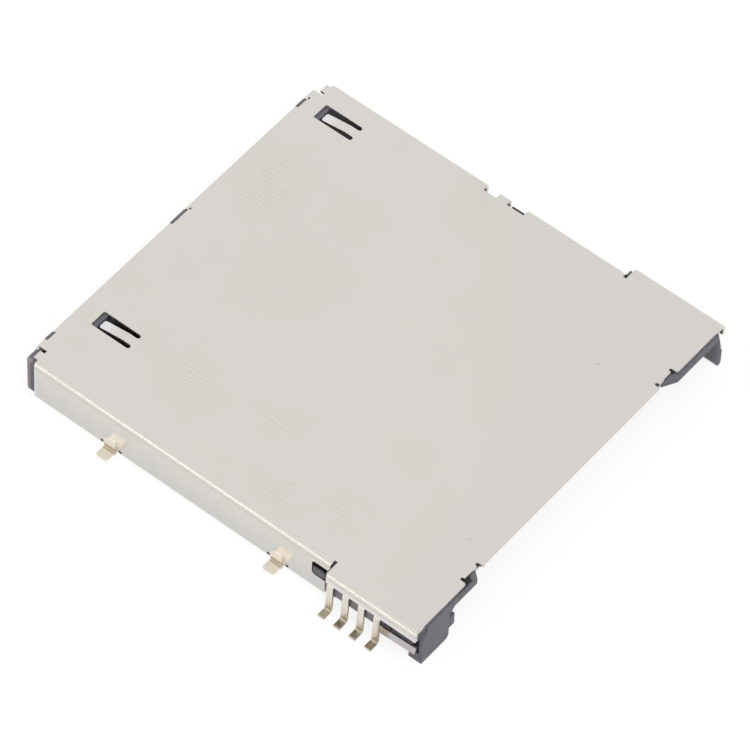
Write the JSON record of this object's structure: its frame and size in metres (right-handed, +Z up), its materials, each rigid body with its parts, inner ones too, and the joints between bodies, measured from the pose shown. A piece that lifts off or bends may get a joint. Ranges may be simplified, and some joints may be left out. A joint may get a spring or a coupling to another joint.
{
  "type": "sd card socket",
  "caption": "Low memory card socket for a circuit board: folded metal shell on a plastic frame, with spring contacts, side switch pins and a sprung push-push eject slider.",
  "frame": {"origin": "on the board plane under the frame's floor, midway across the shell and midway between mouth edge and back flange", "axes": "+X across the mouth to the right as the card goes in, +Y the way the card goes in, +Z up from the board"},
  "size_m": [0.0292, 0.0301, 0.0032],
  "materials": {
    "frame_plastic": "slate grey moulded plastic, fine matt",
    "shell_metal": "satin nickel-plated sheet, warm light grey",
    "contact_metal": "plated spring copper alloy",
    "switch_metal": "tinned copper alloy, beige to bronze",
    "slider_plastic": "natural white moulded plastic",
    "wire_steel": "bright drawn wire",
    "spring_steel": "bright spring wire"
  },
  "bodies": {
    "socket": {"housing": "frame_plastic", "top_shell": "shell_metal", "contact_1": "contact_metal", "contact_2": "contact_metal", "contact_3": "contact_metal", "contact_4": "contact_metal", "contact_5": "contact_metal", "contact_6": "contact_metal", "contact_7": "contact_metal", "contact_8": "contact_metal", "contact_9": "contact_metal", "protect_contact": "switch_metal", "protect_leaf": "switch_metal", "detect_contact": "switch_metal", "detect_leaf": "switch_metal", "eject_spring": "spring_steel"},
    "slider": {"eject_slider": "slider_plastic"},
    "pin": {"cam_pin": "wire_steel"}
  },
  "joints": [
    {"name": "slider_travel", "type": "slide", "parent": "socket", "child": "slider", "axis": [0, 1, 0], "range_m": [0, 0.0042], "stiffness_N_per_m": 50, "deforming": ["eject_spring"]},
    {"name": "cam_pin_swing", "type": "hinge", "parent": "socket", "child": "pin", "pos_m": [-0.0122, 0.0139, 0.0027], "axis": [0, 0, 1], "range_deg": [0, 6.1]}
  ],
  "couplings": [
    {"joint": "cam_pin_swing", "follows": "slider_travel", "rad_per_m": 25.109}
  ]
}
